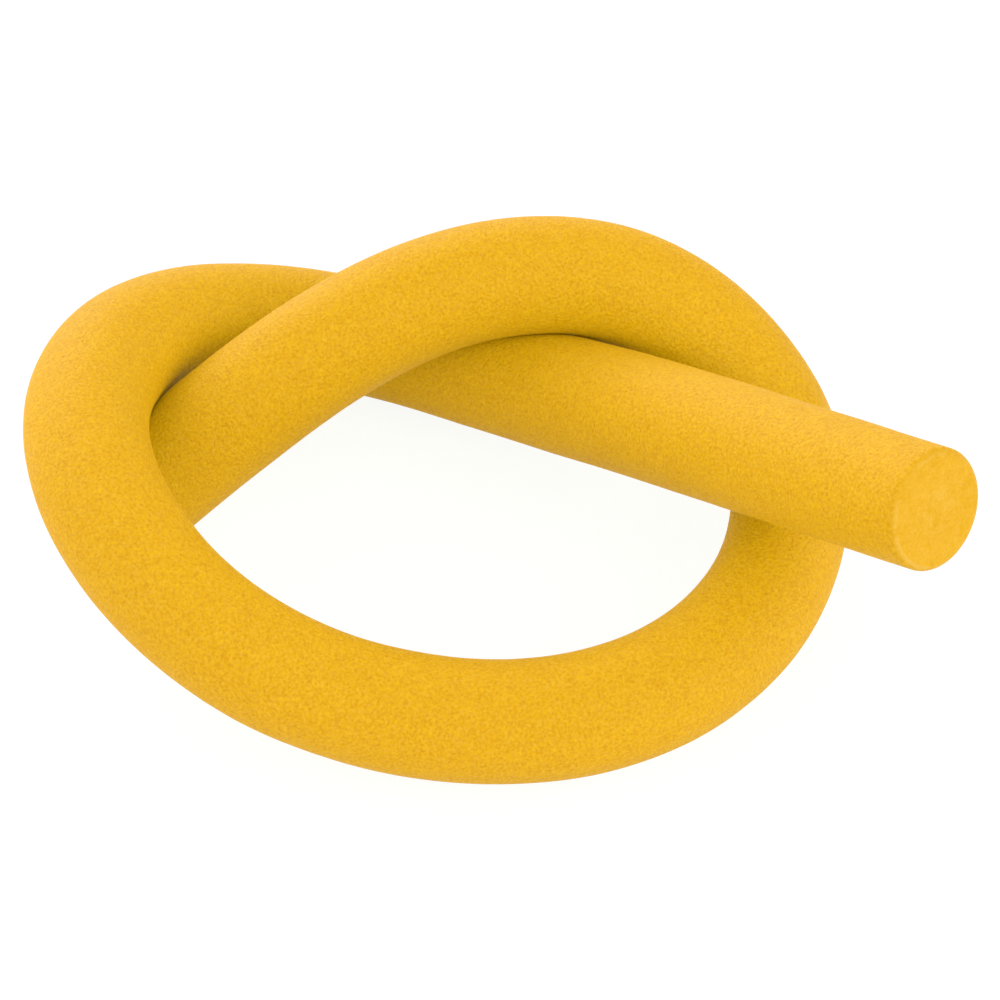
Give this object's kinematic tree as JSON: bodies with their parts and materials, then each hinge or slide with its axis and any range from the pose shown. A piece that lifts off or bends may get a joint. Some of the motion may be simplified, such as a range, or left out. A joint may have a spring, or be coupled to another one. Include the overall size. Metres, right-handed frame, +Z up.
{
  "type": "pool noodle",
  "caption": "Round solid foam pool noodle tied in a loose overhand knot and laid down, with flat cut ends, the end in view raised and the other tucked under the loop.",
  "frame": {"origin": "on the floor, under the centre of the bounding box", "axes": "+Z up from the floor, +X to the right and -Y to the front, towards the side from which the picture was taken"},
  "size_m": [0.4796, 0.3364, 0.1771],
  "materials": {
    "noodle_foam": "matte closed-cell foam with a fine grain"
  },
  "bodies": {
    "root": {"foam_noodle": "noodle_foam"}
  },
  "joints": []
}
